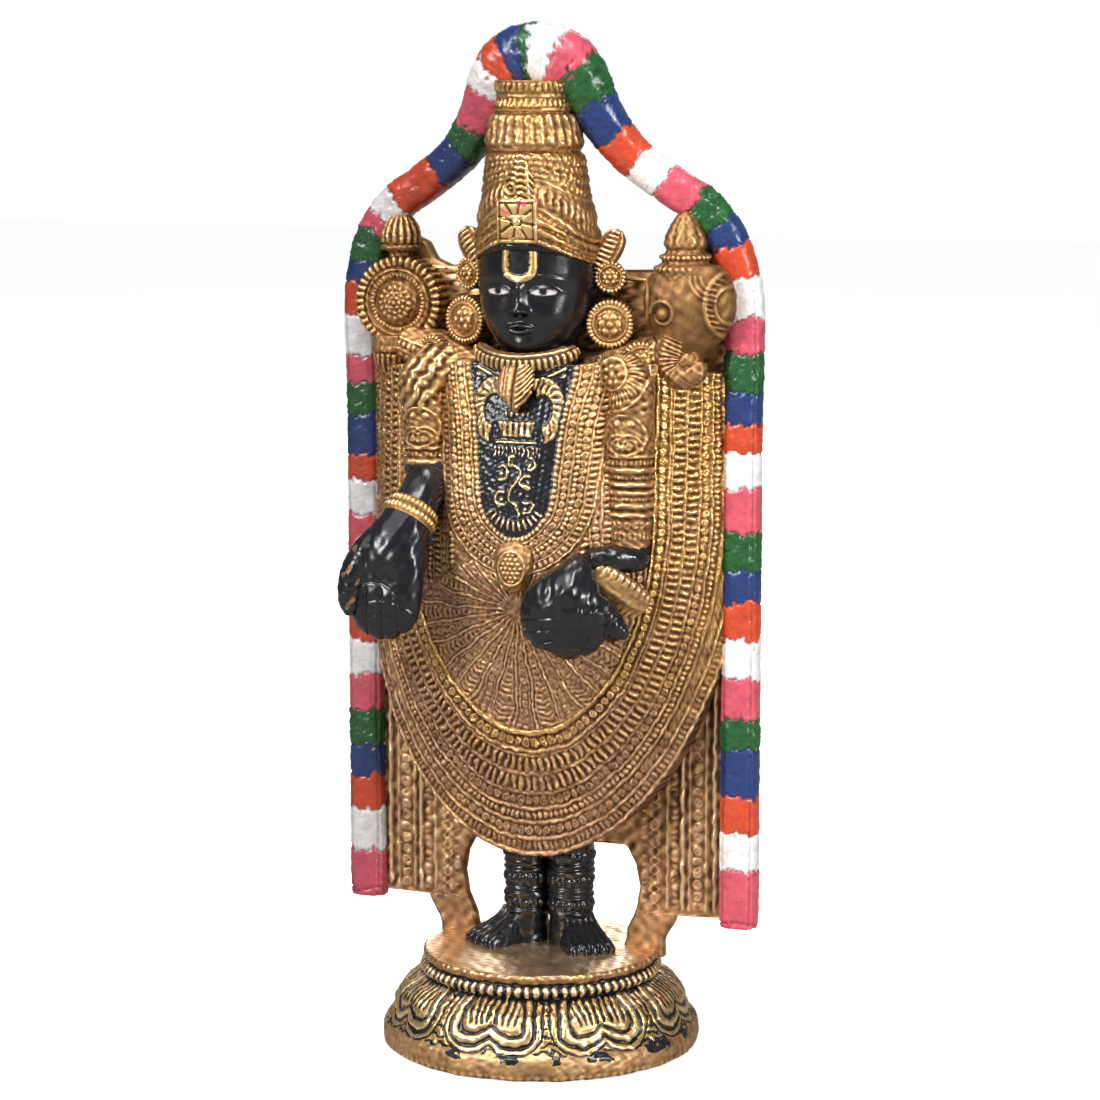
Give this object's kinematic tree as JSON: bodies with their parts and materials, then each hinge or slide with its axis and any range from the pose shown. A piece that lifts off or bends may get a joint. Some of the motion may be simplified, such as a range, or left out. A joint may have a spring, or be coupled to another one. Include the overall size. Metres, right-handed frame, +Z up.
{
  "type": "venkateswara statue",
  "caption": "Standing four-armed brass deity figure on a round lotus foot, with a back plate, tall crown and a painted flower garland round its edge.",
  "frame": {"origin": "centre of the round foot's flat underside", "axes": "+Z up, -Y out of the figure's front, +X to the viewer's right as one faces the figure"},
  "size_m": [0.0966, 0.0704, 0.2242],
  "materials": {
    "brass": "polished high points with dark brown patina in the recesses",
    "black_enamel": "glossy black enamel, worn through to brass on the high relief",
    "garland_enamel": "glossy hand-brushed enamel in bands of white, pink, green, blue and orange-red"
  },
  "bodies": {
    "root": {"venkateswara_statue": "brass"}
  },
  "joints": []
}
